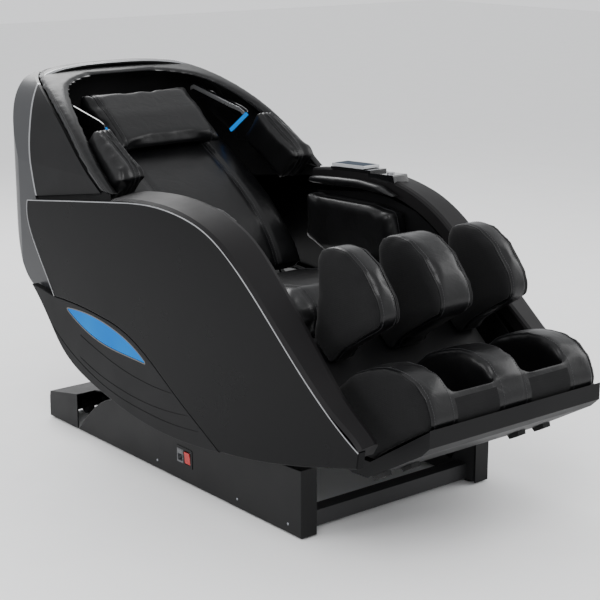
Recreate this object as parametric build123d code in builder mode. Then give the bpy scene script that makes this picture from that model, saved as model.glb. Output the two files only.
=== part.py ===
"""Reclining massage chair, built as the separate pieces it comes apart into.

Millimetres, +Z up. The sitter faces -Y, so the sitter's right is at -X. The origin is on the floor
under the middle of the chair. The chair stands part reclined: seat tilted back, legrest half raised.
"""
import os
from math import hypot

from build123d import *

os.makedirs("parts", exist_ok=True)

# ---- overall sizes ---------------------------------------------------------------------------------
overall_width = 840.0       # across the silver arm trims
overall_length = 1865.0     # foot nose to the rear of the back shell
overall_height = 1100.0     # floor to the top of the hood

# Side outlines are drawn at this length and height, measured back from the base's front face and
# up from the floor, and at() stretches them to the overall sizes.
drawn_length = 1865.0
drawn_height = 1100.0
foot_reach = 425.0          # foot nose ahead of the base's front face

# ---- sizes that are set by themselves --------------------------------------------------------------
wall = 4.0                  # moulded covers
offset_steps = 120          # straight runs round a moved outline
sheet_steel = 8.0           # pivot and side plates
trim_stand = 1.5            # the silver trims stand this far outside the side panels
panel_depth = 22.0          # side panels, outside face to inside edge
panel_edge_r = 3.0          # rounding of the side panels' outside edge
panel_gap = 2.0             # between two covers of one body
moving_gap = 4.0            # between covers of two bodies
pin_clearance = 0.05        # radial, pivots and slides
pivot_pin_r = 10.0
tube_r = 14.0               # cross tubes of the steel frames
soft_gap = 2.0              # soft piece to hard piece of one body

base_half = 342.0           # outer face of the base covers
base_cover_depth = 52.0
cover_lift = 5.0            # base covers stand this far off the floor
rail_width = 40.0
rail_height = 44.0
floor_pad_height = 8.0
floor_pad_r = 20.0
wheel_r = 24.0
wheel_width = 22.0
wheel_x = 230.0
axle_r = 6.0

seat_plate_inner = 262.0    # half width inside the seat frame's side plates
leg_plate_outer = 248.0     # half width over the leg frame's side plates
back_plate_outer = 214.0    # half width over the back frame's side plates
seat_half = 240.0           # half width of the seat cushion
back_cushion_half = 250.0
arm_pad_inner = 252.0       # half width between the forearm pads
liner_inner = 322.0         # half width between the arm liners
cap_width = 106.0           # arm cap, across its flat top
cap_lift = 20.0             # its inner edge stands this far above its outer edge
cap_depth = 24.0

calf_outer = 269.0          # half width over the outer calf pads
calf_inner = 184.0          # half width between the outer calf pads
calf_middle = 66.0          # half width of the middle calf pad
foot_half = 298.0           # half width of the foot pad
well_outer = 199.0
well_inner = 51.0
slide_rod_r = 9.0
slide_rod_x = 150.0
track_rod_r = 8.0
track_rod_x = 150.0
carriage_length = 110.0
roller_r = 24.0
roller_width = 30.0
roller_x = 62.0
sole_roller_r = 14.0

cylinder_r = 20.0
rod_r = 10.0
link_pin_r = 6.0
lug_thickness = 8.0
lug_r = 16.0
eye_length = 25.0           # rod end to the middle of its eye
motor_r = 24.0


def at(back, up):
    """A point of the side view in the model's frame, from its place on the drawn outline."""
    return (((back + foot_reach) / drawn_length - 0.5) * overall_length, up / drawn_height * overall_height)


def placed(*points):
    """Drawn side view points, in the model's frame."""
    return [at(back, up) for back, up in points]


def unit(start, end):
    length = hypot(end[0] - start[0], end[1] - start[1])
    return ((end[0] - start[0]) / length, (end[1] - start[1]) / length)


def along(start, direction, distance, above=0.0):
    """A side view point: along a unit direction, then square to it on its upper side."""
    turn = 1 if direction[0] > 0 else -1
    return (start[0] + direction[0] * distance - turn * direction[1] * above,
            start[1] + direction[1] * distance + turn * direction[0] * above)


def side(x):
    """The side view's plane, at a distance across from the middle."""
    return Plane.YZ.offset(x)


def disc(x, centre, radius):
    with BuildSketch(side(x)) as face:
        with Locations(centre):
            Circle(radius)
    return face.sketch


def polygon(x, points, corner=0.0):
    """A flat outline with straight sides, its corners rounded."""
    with BuildSketch(side(x)) as face:
        with BuildLine():
            Polyline(*points, close=True)
        make_face()
        if corner > 0:
            fillet(face.vertices(), radius=corner)
    return face.sketch


def curved(*runs):
    """A closed outline of curves, in side view: each run is a curve through its points."""
    with BuildSketch() as face:
        with BuildLine():
            for run in runs:
                if len(run) == 2:
                    Line(*run)
                else:
                    Spline(*run)
        make_face()
    return face.sketch_local


def outline(x, shape):
    """A closed outline brought to the side plane at x."""
    with BuildSketch(side(x)) as face:
        add(shape)
    return face.sketch


def resized(x, shape, change):
    """An outline brought to x, its edge moved out, or in when negative, in short straight runs."""
    with BuildSketch() as moved:
        add(shape)
        offset(amount=change)
    edge = moved.sketch_local.faces()[0].outer_wire()
    points = [edge @ (step / offset_steps) for step in range(offset_steps)]
    return polygon(x, [(point.X, point.Y) for point in points])


def edges_across(builder, x):
    """The edges of a piece that lie in the side plane at x."""
    return builder.edges().filter_by_position(Axis.X, x - 0.01, x + 0.01)


def save(piece, name):
    piece.label = name
    export_step(piece, "parts/" + name + ".step")
    print(name, round(piece.volume / 1000), "cm3", len(piece.solids()), "solids")


# ---- pivots, in the side view ----------------------------------------------------------------------
tilt_pivot = at(940, 185)
back_pivot = at(770, 430)
leg_pivot = at(90, 470)

# ---- chain of half widths --------------------------------------------------------------------------
panel_outer = overall_width / 2 - trim_stand
panel_inner = panel_outer - panel_depth
hood_half = panel_inner - moving_gap
base_inner = base_half - base_cover_depth
rail_inner = base_half - wall - 6.0 - rail_width
ear_inner = base_inner - panel_gap - sheet_steel
seat_plate_outer = seat_plate_inner + sheet_steel
cap_inner = panel_outer - cap_width
sides = (("right", -1), ("left", 1))

# ==== base ==========================================================================================
base_front = at(0, 0)[0]
base_rear = at(1106, 0)[0]
tail_rear = at(1276, 0)[0]
rail_bottom = floor_pad_height
rail_top = rail_bottom + rail_height
rail_start = base_front + wall + 4.0
rail_end = at(1040, 0)[0]

cover_outline = curved(
    [(base_rear, cover_lift), (base_front, cover_lift)],
    [(base_front, cover_lift), at(0, 192)],
    [at(0, 192), at(890, 152)],
    placed((890, 152), (943, 139), (1002, 103), (1065, 48)) + [(base_rear, cover_lift)],
)

cover_mouth = [(base_front + wall, 0.0), (at(1060, 0)[0], 0.0), (at(1050, 0)[0], cover_lift + wall + 4.0),
               (base_front + wall, cover_lift + wall + 4.0)]

# the plate that holds the mains inlet and the rocker switch, on the sitter's right
plate_low, plate_high = at(486, 50), at(566, 108)
plate_centre = ((plate_low[0] + plate_high[0]) / 2, (plate_low[1] + plate_high[1]) / 2)
plate_size = (80.0, 58.0)
plate_thickness = 1.4
plate_bite = 6.0
socket_centre = (plate_centre[0] + 17.0, plate_centre[1] + 0.5)
socket_size = (30.0, 40.0)
switch_centre = (plate_centre[0] - 17.0, plate_centre[1] + 0.5)
switch_size = (26.0, 38.0)
switch_gap = 0.8
socket_depth = 26.0


def panel_rectangle(x, centre, size):
    with BuildSketch(side(x)) as face:
        with Locations(centre):
            Rectangle(*size)
    return face.sketch


for name, s in sides:
    with BuildPart() as base_cover:
        extrude(outline(s * base_inner, cover_outline), amount=s * base_cover_depth)
        extrude(resized(s * (base_inner - 1.0), cover_outline, -wall),
                amount=s * (base_cover_depth + 1.0 - wall), mode=Mode.SUBTRACT)
        fillet(edges_across(base_cover, s * base_half), radius=3.0)
        # open underneath, over the rail and its feet
        extrude(polygon(s * (base_inner - 1.0), cover_mouth), amount=s * (base_cover_depth + 1.0 - wall),
                mode=Mode.SUBTRACT)
        if s < 0:
            opening = (plate_size[0] - 2 * plate_bite, plate_size[1] - 2 * plate_bite)
            extrude(panel_rectangle(-base_half - 1.0, plate_centre, opening), amount=wall + 2.0,
                    mode=Mode.SUBTRACT)
    save(base_cover.part, "base_cover_" + name)

# the steel base: rails, cross beams, tilt ears and the transport wheels' axle
beam_places = (at(60, 0)[0], at(700, 0)[0], at(985, 0)[0])
beam_half = 22.0
tilt_foot = (beam_places[1], rail_top + lug_r + 6.0)
axle_place = (tail_rear - 46.0, wheel_r + 2.0)
axle_half = base_half - 30.0
ear_foot = 42.0
actuator_x = {"tilt": 0.0, "recline": 70.0, "leg": -70.0}

with BuildPart() as base_frame:
    for name, s in sides:
        rail = [(rail_start, rail_bottom), (rail_start, at(0, 176)[1]), (rail_start + 36.0, at(0, 174)[1]),
                (rail_start + 90.0, rail_top), (rail_end, rail_top), (rail_end, rail_bottom)]
        extrude(polygon(s * rail_inner, rail), amount=s * rail_width)
        ear = [(tilt_pivot[0] - ear_foot, rail_bottom), (tilt_pivot[0] - ear_foot, rail_top),
               (tilt_pivot[0] - 20.0, tilt_pivot[1]), (tilt_pivot[0] + 20.0, tilt_pivot[1]),
               (tilt_pivot[0] + ear_foot, rail_top), (tilt_pivot[0] + ear_foot, rail_bottom)]
        extrude(polygon(s * ear_inner, ear), amount=s * sheet_steel)
        extrude(disc(s * ear_inner, tilt_pivot, 20.0), amount=s * sheet_steel)
        ear_block = [(tilt_pivot[0] - ear_foot, rail_bottom), (tilt_pivot[0] - ear_foot, rail_top),
                     (tilt_pivot[0] + ear_foot, rail_top), (tilt_pivot[0] + ear_foot, rail_bottom)]
        extrude(polygon(s * ear_inner, ear_block), amount=s * (rail_inner + 2.0 - ear_inner))
        extrude(disc(s * (seat_plate_inner - 4.0), tilt_pivot, pivot_pin_r),
                amount=s * (ear_inner + 2.0 - seat_plate_inner + 4.0))
        runner = [(beam_places[2], rail_bottom + 6.0), (axle_place[0] + 12.0, rail_bottom + 6.0),
                  (axle_place[0] + 12.0, rail_bottom + 34.0), (beam_places[2], rail_bottom + 46.0)]
        extrude(polygon(s * 150.0, runner), amount=s * 20.0)
    for place in beam_places:
        beam = [(place - beam_half, rail_bottom), (place - beam_half, rail_top),
                (place + beam_half, rail_top), (place + beam_half, rail_bottom)]
        extrude(polygon(-rail_inner, beam), amount=2 * rail_inner)
    extrude(disc(-axle_half, axle_place, axle_r), amount=2 * axle_half)
    lug_x = actuator_x["tilt"] + lug_thickness / 2 + 1.0
    tilt_lug = [(tilt_foot[0] - lug_r, rail_top - 4.0), (tilt_foot[0] - lug_r, tilt_foot[1]),
                (tilt_foot[0] + lug_r, tilt_foot[1]), (tilt_foot[0] + lug_r, rail_top - 4.0)]
    extrude(polygon(lug_x, tilt_lug), amount=lug_thickness)
    extrude(disc(lug_x, tilt_foot, lug_r), amount=lug_thickness)
    extrude(disc(actuator_x["tilt"] - lug_thickness / 2, tilt_foot, link_pin_r),
            amount=lug_thickness + 2.0)
save(base_frame.part, "base_frame")

with BuildPart() as base_feet:
    for s in (-1, 1):
        for place in (rail_start + 30.0, rail_end - 30.0):
            with BuildSketch(Plane.XY):
                with Locations((s * (rail_inner + rail_width / 2), place)):
                    Circle(floor_pad_r - 1.0)
            extrude(amount=floor_pad_height)
save(base_feet.part, "base_feet")

# the full width cover behind the rails, open underneath
tail_front = at(952, 0)[0]
tail_step = base_rear + panel_gap
tail_inner_half = ear_inner - moving_gap
tail_top = placed((952, 145), (1271, 88))
tail_low = 6.0
with BuildPart() as base_tail_cover:
    tail_body = [tail_top[0], tail_top[1], (tail_rear, at(0, 70)[1]), (tail_rear, tail_low),
                 (tail_front, tail_low)]
    extrude(polygon(-base_half, tail_body), amount=2 * base_half)
    inner_top = [(tail_front - 1.0, tail_top[0][1] - wall), (tail_top[1][0] - wall, tail_top[1][1] - wall),
                 (tail_rear - wall, at(0, 70)[1] - wall), (tail_rear - wall, tail_low - 1.0),
                 (tail_front - 1.0, tail_low - 1.0)]
    extrude(polygon(-base_half + wall, inner_top), amount=2 * (base_half - wall), mode=Mode.SUBTRACT)
    for s in (-1, 1):
        notch = [(tail_front - 2.0, 0.0), (tail_front - 2.0, at(0, 200)[1]), (tail_step, at(0, 200)[1]),
                 (tail_step, 0.0)]
        extrude(polygon(s * tail_inner_half, notch), amount=s * (base_half + 1.0 - tail_inner_half),
                mode=Mode.SUBTRACT)
save(base_tail_cover.part, "base_tail_cover")

with BuildPart() as transport_wheels:
    for name, s in sides:
        extrude(disc(s * (wheel_x - wheel_width / 2), axle_place, wheel_r), amount=s * wheel_width)
    fillet(transport_wheels.edges(), radius=3.0)
    extrude(disc(-axle_half - 1.0, axle_place, axle_r + pin_clearance), amount=2 * axle_half + 2.0,
            mode=Mode.SUBTRACT)
save(transport_wheels.part, "transport_wheels")

with BuildPart() as power_plate:
    with BuildSketch(side(-base_half)) as plate_face:
        with Locations(plate_centre):
            RectangleRounded(*plate_size, 5.0)
        with Locations(socket_centre):
            Rectangle(socket_size[0] + 0.6, socket_size[1] + 0.6, mode=Mode.SUBTRACT)
        with Locations(switch_centre):
            Rectangle(switch_size[0] + 2 * switch_gap, switch_size[1] + 2 * switch_gap, mode=Mode.SUBTRACT)
    extrude(amount=-plate_thickness)
    # a collar behind the switch opening carries its pivot pins
    collar_plane = -base_half
    with BuildSketch(side(collar_plane)) as collar:
        with Locations(switch_centre):
            Rectangle(switch_size[0] + 2 * switch_gap + 3.0, switch_size[1] + 2 * switch_gap + 3.0)
            Rectangle(switch_size[0] + 2 * switch_gap, switch_size[1] + 2 * switch_gap, mode=Mode.SUBTRACT)
    extrude(amount=16.0)
save(power_plate.part, "power_plate")

with BuildPart() as power_inlet:
    extrude(panel_rectangle(-base_half - plate_thickness - 1.0, socket_centre, socket_size),
            amount=socket_depth)
    extrude(panel_rectangle(-base_half - plate_thickness - 1.5, (socket_centre[0], socket_centre[1] - 5.0),
                            (24.0, 20.0)), amount=16.0, mode=Mode.SUBTRACT)
    for dy, dz in ((-6.0, -8.0), (6.0, -8.0), (0.0, -2.0)):
        pin_place = (socket_centre[0] + dy, socket_centre[1] + dz)
        extrude(panel_rectangle(-base_half + 1.0, pin_place, (2.0, 4.0)), amount=14.0)
    # the fuse drawer over the pins
    extrude(panel_rectangle(-base_half - plate_thickness - 1.8, (socket_centre[0], socket_centre[1] + 13.0),
                            (22.0, 8.0)), amount=6.0)
save(power_inlet.part, "power_inlet")

switch_pivot = (-base_half + 4.0, switch_centre[1])
with BuildPart() as power_switch:
    with BuildSketch(Plane.XZ.offset(-switch_centre[0] - switch_size[0] / 2)) as rocker:
        with BuildLine():
            face_x = -base_half - plate_thickness
            Polyline((face_x - 0.6, switch_pivot[1]), (face_x - 3.0, switch_pivot[1] + 17.6),
                     (face_x + 9.0, switch_pivot[1] + 15.0), (face_x + 9.0, switch_pivot[1] - 15.0),
                     (face_x + 0.6, switch_pivot[1] - 17.6), close=True)
        make_face()
    extrude(amount=switch_size[0])
save(power_switch.part, "power_switch")

control_low = at(745, 0)[0]
with BuildPart() as control_box:
    with BuildSketch(Plane.XY.offset(rail_bottom + 4.0)):
        with Locations((0.0, control_low + 85.0)):
            RectangleRounded(260.0, 150.0, 8.0)
    extrude(amount=54.0)
    fillet(control_box.faces().sort_by(Axis.Z)[-1].edges(), radius=4.0)
save(control_box.part, "control_box")

# ==== seat body: frame, arms and panels ===============================================================
seat_plate = placed((60, 440), (120, 430), (690, 345), (900, 160), (965, 162), (970, 205), (850, 400),
                    (800, 460), (740, 468), (130, 505), (60, 500))
cross_tubes = placed((230, 455), (430, 420), (650, 385))
tilt_head = at(400, 352)
recline_foot = at(470, 330)
leg_foot = at(470, 330)
lug_tube = cross_tubes[1]

with BuildPart() as seat_frame:
    for name, s in sides:
        extrude(polygon(s * seat_plate_inner, seat_plate, 14.0), amount=s * sheet_steel)
        for pivot in (tilt_pivot, back_pivot, leg_pivot):
            extrude(disc(s * seat_plate_inner, pivot, 28.0), amount=s * sheet_steel)
    for centre in cross_tubes:
        extrude(disc(-panel_inner + 2.0, centre, tube_r), amount=2 * (panel_inner - 2.0))
    for centre, x in ((tilt_head, actuator_x["tilt"]), (recline_foot, actuator_x["recline"]),
                      (leg_foot, actuator_x["leg"])):
        lug_x = x + lug_thickness / 2 + 1.0
        reach = unit(lug_tube, centre)
        lug = [along(lug_tube, reach, 0, lug_r), along(centre, reach, 0, lug_r),
               along(centre, reach, 0, -lug_r), along(lug_tube, reach, 0, -lug_r)]
        extrude(polygon(lug_x, lug), amount=lug_thickness)
        extrude(disc(lug_x, centre, lug_r), amount=lug_thickness)
        if x != actuator_x["tilt"]:
            extrude(disc(x - lug_thickness / 2, centre, link_pin_r), amount=lug_thickness + 2.0)
    for name, s in sides:
        for pivot in (tilt_pivot, back_pivot, leg_pivot):
            extrude(disc(s * (seat_plate_inner - 1.0), pivot, pivot_pin_r + pin_clearance),
                    amount=s * (sheet_steel + 2.0), mode=Mode.SUBTRACT)
save(seat_frame.part, "seat_frame")

# the shallow pan that closes the seat underneath
pan_line = placed((150, 300), (640, 225), (785, 232))
with BuildPart() as seat_pan:
    pan_half = 300.0
    pan = [pan_line[0], pan_line[1], pan_line[2], (pan_line[2][0], pan_line[2][1] + wall),
           (pan_line[1][0], pan_line[1][1] + wall), (pan_line[0][0], pan_line[0][1] + wall)]
    extrude(polygon(-pan_half, pan), amount=2 * pan_half)
    for s in (-1, 1):
        lip = [pan_line[0], pan_line[1], pan_line[2], (pan_line[2][0], pan_line[2][1] + 50.0),
               (pan_line[1][0], pan_line[1][1] + 50.0), (pan_line[0][0], pan_line[0][1] + 50.0)]
        extrude(polygon(s * (pan_half - wall), lip), amount=s * wall)
    # the slot that the tilt actuator passes through
    slot = placed((350, 150), (350, 400), (760, 400), (760, 150))
    extrude(polygon(actuator_x["tilt"] - 45.0, slot), amount=90.0, mode=Mode.SUBTRACT)
save(seat_pan.part, "seat_pan")

with BuildPart() as air_pump:
    with BuildSketch(Plane.XY.offset(at(0, 285)[1])):
        with Locations((-180.0, at(560, 0)[0])):
            RectangleRounded(120.0, 160.0, 12.0)
    extrude(amount=75.0)
    fillet(air_pump.edges().filter_by(Plane.XY), radius=6.0)
save(air_pump.part, "air_pump")

# arm outlines
arm_top = placed((1226, 721), (1000, 752), (753, 785), (560, 805), (409, 798), (300, 773), (149, 686),
                 (-13, 553), (-168, 430), (-308, 346))
arm_bottom = placed((-302, 304), (-91, 249), (157, 201), (252, 190))
panel_rear = placed((1087, 448), (1135, 514), (1189, 588), (1230, 674), (1226, 721))
seam = placed((252, 190), (321, 226), (460, 300), (619, 389), (721, 425), (826, 440), (937, 448), (1087, 448))
lower_seam = [(y, z - panel_gap) for y, z in seam]
lower_edge = [lower_seam[0]] + placed((431, 171), (629, 175), (840, 211), (1062, 301), (1117, 358), (1222, 460))
fin = placed((1222, 460), (1160, 455))

upper_outline = curved(arm_top, [arm_top[-1], arm_bottom[0]], arm_bottom, seam, panel_rear)
lower_outline = curved(lower_seam, [lower_seam[-1], fin[1]], [fin[1], fin[0]], lower_edge[::-1])

lens_upper = placed((1012, 424), (882, 428), (774, 415), (670, 387), (601, 353))
lens_lower = placed((601, 353), (724, 356), (831, 364), (940, 392), (1012, 424))
lens_outline = curved(lens_upper, lens_lower)
bezel_width = 5.0
groove_width = 3.0
groove_depth = 1.2
grooves = (placed((942, 359), (849, 334), (727, 309), (573, 296), (470, 298)),
           placed((947, 290), (837, 261), (678, 240), (526, 239), (391, 254)),
           placed((1100, 350), (1004, 296), (894, 254), (785, 227), (628, 211), (478, 209), (345, 222)))


def ribbon(x, points, width):
    """A band of one width along a curve."""
    with BuildSketch(side(x)) as face:
        with BuildLine():
            Spline(*points)
        trace(line_width=width)
    return face.sketch


for name, s in sides:
    with BuildPart() as side_panel:
        extrude(outline(s * panel_inner, upper_outline), amount=s * panel_depth)
        extrude(resized(s * (panel_inner - 1.0), upper_outline, -wall),
                amount=s * (panel_depth + 1.0 - wall), mode=Mode.SUBTRACT)
        fillet(edges_across(side_panel, s * panel_outer), radius=panel_edge_r)
    save(side_panel.part, "side_panel_" + name)

    with BuildPart() as lower_panel:
        extrude(outline(s * panel_inner, lower_outline), amount=s * panel_depth)
        extrude(resized(s * (panel_inner - 1.0), lower_outline, -wall),
                amount=s * (panel_depth + 1.0 - wall), mode=Mode.SUBTRACT)
        fillet(edges_across(lower_panel, s * panel_outer), radius=2.0)
        extrude(resized(s * panel_inner, lens_outline, bezel_width + 0.4), amount=s * (panel_depth + 1.0),
                mode=Mode.SUBTRACT)
        for groove in grooves:
            extrude(ribbon(s * (panel_outer - groove_depth), groove, groove_width),
                    amount=s * (groove_depth + 1.0), mode=Mode.SUBTRACT)
    save(lower_panel.part, "lower_panel_" + name)

with BuildPart() as lamp_bezels:
    for name, s in sides:
        extrude(resized(s * (panel_outer - 14.0), lens_outline, bezel_width), amount=s * 14.0)
        extrude(resized(s * (panel_outer - 9.0), lens_outline, 1.4), amount=s * 12.0, mode=Mode.SUBTRACT)
save(lamp_bezels.part, "lamp_bezels")

with BuildPart() as lamp_lenses:
    for name, s in sides:
        extrude(outline(s * (panel_outer - 8.6), lens_outline), amount=s * 8.0)
save(lamp_lenses.part, "lamp_lenses")

# the arm caps follow the arm's top edge; stations give the place and the inner edge's half width
cap_stations = ((753, 785, 0), (650, 800, 0), (503, 806, 0), (409, 798, 0), (319, 778, 0), (233, 743, 1),
                (149, 686, 4), (67, 619, 9), (-13, 553, 17), (-91, 489, 26), (-168, 430, 34),
                (-242, 388, 42), (-306, 347, 46))
cap_points = [at(back, up) for back, up, step in cap_stations]
cap_gap = 1.5
for name, s in sides:
    with BuildPart() as arm_cap:
        for i, (back, up, step) in enumerate(cap_stations):
            before = cap_points[max(i - 1, 0)]
            after = cap_points[min(i + 1, len(cap_points) - 1)]
            run = unit(after, before)
            inner = cap_inner + step
            rise = cap_lift * (1.0 - 0.25 * i / (len(cap_stations) - 1))
            section = ((panel_outer, cap_gap), (panel_outer - 10.0, cap_gap + 7.0),
                       (inner + 14.0, rise), (inner + 4.0, rise - 2.0), (inner, rise - 8.0), (inner, -cap_depth),
                       (panel_inner - cap_gap, -cap_depth), (panel_inner - cap_gap, cap_gap))
            station = Plane(origin=(0, *cap_points[i]), x_dir=(s, 0, 0), z_dir=(0, s * -run[0], s * -run[1]))
            with BuildSketch(station):
                with BuildLine():
                    Polyline(*section, close=True)
                make_face()
        loft()
    save(arm_cap.part, "arm_cap_" + name)
left_cap = arm_cap.part

with BuildPart() as arm_trims:
    for name, s in sides:
        for path in (arm_top, panel_rear):
            extrude(ribbon(s * (panel_outer + 0.2), path, 3.0), amount=s * (trim_stand - 0.2))
save(arm_trims.part, "arm_trims")

# the inside of each arm: a flat liner, the forearm pad and the seat side pad
liner_depth = 5.0
liner = placed((744, 735), (744, 560), (330, 540), (20, 490), (-150, 362), (-138, 408), (60, 572), (149, 642),
               (233, 704), (300, 737), (409, 760), (503, 765))
pad_low = placed((300, 560), (330, 735), (430, 752), (728, 742), (728, 600), (640, 565))
pad_high = placed((318, 768), (409, 802), (503, 808), (735, 790), (735, 762), (500, 780), (400, 774))
pad_high_inner = 266.0
with BuildPart() as arm_liners:
    for name, s in sides:
        extrude(polygon(s * liner_inner, liner), amount=s * liner_depth)
        for centre in placed((560, 700), (200, 600)):
            extrude(disc(s * (liner_inner + liner_depth - 1.0), centre, 12.0),
                    amount=s * (panel_outer - wall - soft_gap - liner_inner - liner_depth))
save(arm_liners.part, "arm_liners")

with BuildPart() as arm_pads:
    for name, s in sides:
        extrude(polygon(s * arm_pad_inner, pad_low, 12.0), amount=s * (liner_inner - soft_gap - arm_pad_inner))
        extrude(polygon(s * pad_high_inner, pad_high, 4.0), amount=s * (cap_inner - soft_gap - pad_high_inner))
save(arm_pads.part, "arm_pads")

seat_outline = placed((135, 490), (141, 560), (180, 602), (300, 588), (500, 546), (694, 508), (690, 452),
                      (520, 470), (160, 478))
with BuildPart() as seat_cushion:
    extrude(polygon(-seat_half, seat_outline, 10.0), amount=2 * seat_half)
save(seat_cushion.part, "seat_cushion")

# ---- actuators ---------------------------------------------------------------------------------------


def actuator(name, tail, head, x, tube_length, rod_length):
    """A linear actuator: tube and motor on the tail pivot, rod with a bare eye at its head."""
    aim = unit(tail, head)
    reach = hypot(head[0] - tail[0], head[1] - tail[1])
    tube_start = lug_r + 14.0
    motor_setback = 36.0
    motor_length = 90.0
    across = Plane(origin=(x, *along(tail, aim, tube_start)), x_dir=(1, 0, 0), z_dir=(0, *aim))
    with BuildPart() as tube:
        with BuildSketch(across):
            Circle(cylinder_r)
        extrude(amount=tube_length)
        with BuildSketch(across.offset(12.0)):
            Circle(rod_r + 1.0)
        extrude(amount=tube_length, mode=Mode.SUBTRACT)
        motor_foot = along(tail, aim, tube_start + motor_setback, cylinder_r + 20.0)
        with BuildSketch(Plane(origin=(x, *motor_foot), x_dir=(1, 0, 0), z_dir=(0, *aim))):
            Circle(motor_r)
        extrude(amount=motor_length)
        neck = [along(tail, aim, 0, 11.0), along(tail, aim, tube_start + 2.0, 11.0),
                along(tail, aim, tube_start + 2.0, -11.0), along(tail, aim, 0, -11.0)]
        extrude(polygon(x - lug_thickness / 2, neck), amount=lug_thickness)
        extrude(disc(x - lug_thickness / 2, tail, lug_r - 3.0), amount=lug_thickness)
        extrude(disc(x - lug_thickness, tail, link_pin_r + pin_clearance), amount=2 * lug_thickness,
                mode=Mode.SUBTRACT)
    save(tube.part, name + "_actuator")
    back_along = Plane(origin=(x, *along(tail, aim, reach - rod_length)), x_dir=(1, 0, 0), z_dir=(0, *aim))
    with BuildPart() as rod:
        with BuildSketch(back_along):
            Circle(rod_r)
        extrude(amount=rod_length - eye_length)
        shank = [along(tail, aim, reach - eye_length - 4.0, 8.0), along(tail, aim, reach, 8.0),
                 along(tail, aim, reach, -8.0), along(tail, aim, reach - eye_length - 4.0, -8.0)]
        extrude(polygon(x - lug_thickness / 2, shank), amount=lug_thickness)
        extrude(disc(x - lug_thickness / 2, head, lug_r - 3.0), amount=lug_thickness)
        extrude(disc(x - lug_thickness, head, link_pin_r + 1.0), amount=2 * lug_thickness, mode=Mode.SUBTRACT)
    save(rod.part, name + "_rod")


recline_head = at(800, 300)
leg_head = at(90, 334)
actuator("tilt", tilt_foot, tilt_head, actuator_x["tilt"], 285.0, 225.0)
actuator("recline", recline_foot, recline_head, actuator_x["recline"], 180.0, 190.0)
actuator("leg", leg_foot, leg_head, actuator_x["leg"], 235.0, 220.0)

# ==== backrest ========================================================================================
track = unit(at(880, 560), at(1330, 790))
track_start = at(880, 560)
track_length = hypot(at(1330, 790)[0] - track_start[0], at(1330, 790)[1] - track_start[1])
end_bar = 14.0
recline_tube = back_pivot
back_plate = placed((740, 418), (800, 405), (905, 520), (1345, 745), (1362, 800), (1340, 826), (1290, 818),
                    (866, 572), (752, 450))
with BuildPart() as back_frame:
    for name, s in sides:
        extrude(polygon(s * (back_plate_outer - sheet_steel), back_plate, 10.0), amount=s * sheet_steel)
        extrude(disc(s * (back_plate_outer - sheet_steel), back_pivot, 30.0), amount=s * sheet_steel)
        extrude(disc(s * back_plate_outer, back_pivot, pivot_pin_r), amount=s * (seat_plate_outer + 4.0
                                                                                   - back_plate_outer))
        extrude(disc(s * (back_plate_outer + 1.0), back_pivot, pivot_pin_r + 6.0),
                amount=s * (seat_plate_inner - 2.0 - back_plate_outer - 1.0))
        extrude(disc(s * (back_plate_outer - 1.0), back_pivot, pivot_pin_r + 6.0), amount=s * 2.0)
    extrude(disc(-back_plate_outer + 1.0, recline_tube, tube_r), amount=2 * (back_plate_outer - 1.0))
    for place in (0.0, track_length):
        centre = along(track_start, track, place)
        bar = [along(centre, track, -end_bar, end_bar), along(centre, track, end_bar, end_bar),
               along(centre, track, end_bar, -end_bar), along(centre, track, -end_bar, -end_bar)]
        extrude(polygon(-back_plate_outer + 1.0, bar), amount=2 * (back_plate_outer - 1.0))
    for s in (-1, 1):
        rod_plane = Plane(origin=(s * track_rod_x, *track_start), x_dir=(1, 0, 0), z_dir=(0, *track))
        with BuildSketch(rod_plane):
            Circle(track_rod_r)
        extrude(amount=track_length)
    lug_x = actuator_x["recline"] + lug_thickness / 2 + 1.0
    reach = unit(recline_tube, recline_head)
    lever = [along(recline_tube, reach, 0, lug_r), along(recline_head, reach, 0, lug_r),
             along(recline_head, reach, 0, -lug_r), along(recline_tube, reach, 0, -lug_r)]
    extrude(polygon(lug_x, lever), amount=lug_thickness)
    extrude(disc(lug_x, recline_head, lug_r), amount=lug_thickness)
save(back_frame.part, "back_frame")

# the massage carriage runs on the two rods
carriage_place = track_length / 2
carriage_half = 188.0
carriage_depth = 20.0
arm_pivot = along(track_start, track, carriage_place, 0.0)
roller_rise = 40.0
roller_step = 44.0
with BuildPart() as massage_carriage:
    low, high = carriage_place - carriage_length / 2, carriage_place + carriage_length / 2
    block = [along(track_start, track, low, carriage_depth), along(track_start, track, high, carriage_depth),
             along(track_start, track, high, -carriage_depth), along(track_start, track, low, -carriage_depth)]
    extrude(polygon(-carriage_half, block), amount=2 * carriage_half)
    pocket_half = roller_x + roller_width
    extrude(polygon(-pocket_half, [along(track_start, track, low - 1, carriage_depth + 1),
                                   along(track_start, track, high + 1, carriage_depth + 1),
                                   along(track_start, track, high + 1, -carriage_depth + 8.0),
                                   along(track_start, track, low - 1, -carriage_depth + 8.0)]),
            amount=2 * pocket_half, mode=Mode.SUBTRACT)
    extrude(disc(-pocket_half - 1.0, arm_pivot, pivot_pin_r - 4.0), amount=2 * pocket_half + 2.0)
    for s in (-1, 1):
        rod_plane = Plane(origin=(s * track_rod_x, *along(track_start, track, low - 1.0)), x_dir=(1, 0, 0),
                          z_dir=(0, *track))
        with BuildSketch(rod_plane):
            Circle(track_rod_r + pin_clearance)
        extrude(amount=carriage_length + 2.0, mode=Mode.SUBTRACT)
    # motor under the carriage
    motor = Plane(origin=(-120.0, *along(track_start, track, carriage_place, -carriage_depth - 22.0)),
                  x_dir=(0, *track), z_dir=(1, 0, 0))
    with BuildSketch(motor):
        Circle(26.0)
    extrude(amount=170.0)
save(massage_carriage.part, "massage_carriage")

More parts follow.
